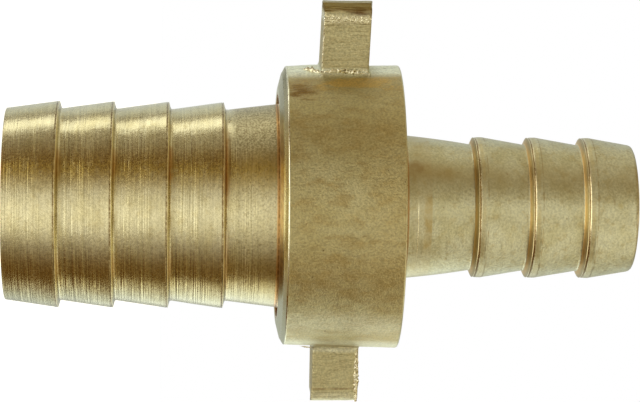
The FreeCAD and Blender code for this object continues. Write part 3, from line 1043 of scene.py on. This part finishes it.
def washer_rubber():
    """Black rubber, slightly dusty."""
    coat = Coat("washer_rubber", metallic=0.0)
    grain = coat.noise(4.0, 3.0)
    dust = coat.noise(0.5, 3.0, offset=5.0)
    coat.base(dust.ramp(0.4, 0.8), (0.02, 0.02, 0.02), (0.06, 0.058, 0.052))
    coat.bump((grain, 0.02))
    return coat.finished(grain.ramp(0.3, 0.7, 0.6, 0.8))


# ---------------------------------------------------------------- camera, light and floor


def photo_camera():
    """The photograph's camera, level with the lower third of the standing part and turned on its side."""
    data = bpy.data.cameras.new("camera")
    data.lens = CAMERA_LENS
    data.sensor_width = 36.0
    data.clip_start = 0.01
    data.clip_end = 20.0
    camera = put_in_scene("camera", data)
    forward = -math.cos(CAMERA_YAW) * TOWARDS + math.sin(CAMERA_YAW) * RIGHT
    side = math.cos(CAMERA_YAW) * RIGHT + math.sin(CAMERA_YAW) * TOWARDS
    rolled_side = math.cos(CAMERA_ROLL) * side + math.sin(CAMERA_ROLL) * UP
    rolled_up = -math.sin(CAMERA_ROLL) * side + math.cos(CAMERA_ROLL) * UP
    turned = Matrix((rolled_side, rolled_up, -forward)).transposed()
    spot = (CAMERA_RIGHT * RIGHT + CAMERA_UP * UP + CAMERA_FAR * TOWARDS) * MM
    camera.matrix_world = Matrix.Translation(spot) @ turned.to_4x4()
    bpy.context.scene.camera = camera


def lamp(name, around_deg, along_deg, wide_deg, tall_deg, glow, colour):
    """Soft lamp, seen from the part at an angle around its axis, from the camera towards the picture's top,
    and at an angle up along the axis. Its size is an angle too, and glow is its brightness, 1 is white."""
    around, along = math.radians(around_deg), math.radians(along_deg)
    level = math.cos(around) * TOWARDS + math.sin(around) * UP
    direction = math.cos(along) * level + math.sin(along) * RIGHT
    data = bpy.data.lights.new(name, "AREA")
    data.shape = "RECTANGLE"
    data.size = 2 * LAMP_FAR * math.tan(math.radians(wide_deg / 2))
    data.size_y = 2 * LAMP_FAR * math.tan(math.radians(tall_deg / 2))
    data.energy = glow * math.pi * data.size * data.size_y
    data.color = colour
    side = RIGHT.cross(direction).normalized()
    turned = Matrix((side, direction.cross(side), direction)).transposed()
    centre = Vector((0, 0, LAMP_MIDDLE * MM))
    put_in_scene(name, data).matrix_world = Matrix.Translation(centre + direction * LAMP_FAR) @ turned.to_4x4()


def room():
    """A dim warm room with soft patches of light, seen by the part alone, and a white background."""
    world = bpy.data.worlds.new("room")
    bpy.context.scene.world = world
    world.use_nodes = True
    tree = emptied(world.node_tree)
    direction = node(tree, "TexCoord", output="Generated")
    upwards = direction.axis("Z")
    along = upwards.math("ARCSINE") * math.degrees(1)
    around = direction.around_picture()
    light = blend(along.ramp(-16.0, 2.0), (0.13, 0.055, 0.005), (0.34, 0.265, 0.13))
    for around_deg, wide, along_deg, tall, colour in ROOM_GLOWS:
        light = blend(around.peak(around_deg, wide) * along.peak(along_deg, tall), light, colour, "ADD")
    to_back = direction.vector("DOT_PRODUCT", -TOWARDS, "Value")
    back = blend(around.ramp(-10.0, 10.0), (0.54, 0.58, 0.56), (0.74, 0.78, 0.76))
    light = blend(to_back.ramp(0.4, 0.85), light, back)
    dark_rim = around.peak(166.0, 14.0) * abs(along).ramp(8.0, 16.0)
    light = blend(dark_rim, light, (0.12, 0.12, 0.1))
    light = blend(abs(upwards).ramp(0.65, 0.9), light, (0.5, 0.38, 0.2))
    seen = node(tree, "LightPath", output="Is Camera Ray")
    shown = blend(seen, light, (1.0, 1.0, 1.0))
    node(tree, "OutputWorld", {"Surface": node(tree, "Background", {"Color": shown, "Strength": 1.0})})


def floor():
    """Pale floor that keeps the shadow, is white to the camera elsewhere and shows in no gloss."""
    half = 1.5
    mesh = bpy.data.meshes.new("floor")
    mesh.from_pydata([(-half, -half, 0), (half, -half, 0), (half, half, 0), (-half, half, 0)], [], [(0, 1, 2, 3)])
    obj = put_in_scene("floor", mesh)
    material = bpy.data.materials.new("floor_white")
    material.use_nodes = True
    tree = emptied(material.node_tree)
    paint = node(tree, "BsdfDiffuse", {"Color": (0.8, 0.8, 0.8)})
    seen = node(tree, "LightPath", output="Is Camera Ray")
    glow = node(tree, "Emission", {"Color": (1.0, 1.0, 1.0), "Strength": seen * 0.9})
    node(tree, "OutputMaterial", {"Surface": node(tree, "AddShader", {0: paint, 1: glow})})
    mesh.materials.append(material)
    obj.visible_glossy = False
    obj.visible_shadow = False


# ---------------------------------------------------------------- scene


def dress(piece, body, cad_node):
    """Puts a piece on its body in place of the solid."""
    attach(piece, body)
    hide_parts(cad_node)


dress(large_hose_tail(turned_brass()), "large_tail", "large_hose_tail")
dress(small_hose_tail(matte_brass()), "small_tail", "small_hose_tail")
dress(sealing_washer(washer_rubber()), "washer", "sealing_washer")
dress(union_nut(forged_brass(), machined_brass()), "nut", "union_nut")
for piece in flash(torn_brass()):
    dress(piece, "nut", "union_nut")
photo_camera()
for lamp_name, lamp_facts in LAMPS.items():
    lamp(lamp_name, *lamp_facts)
room()
floor()
bpy.context.scene.view_settings.view_transform = "Standard"
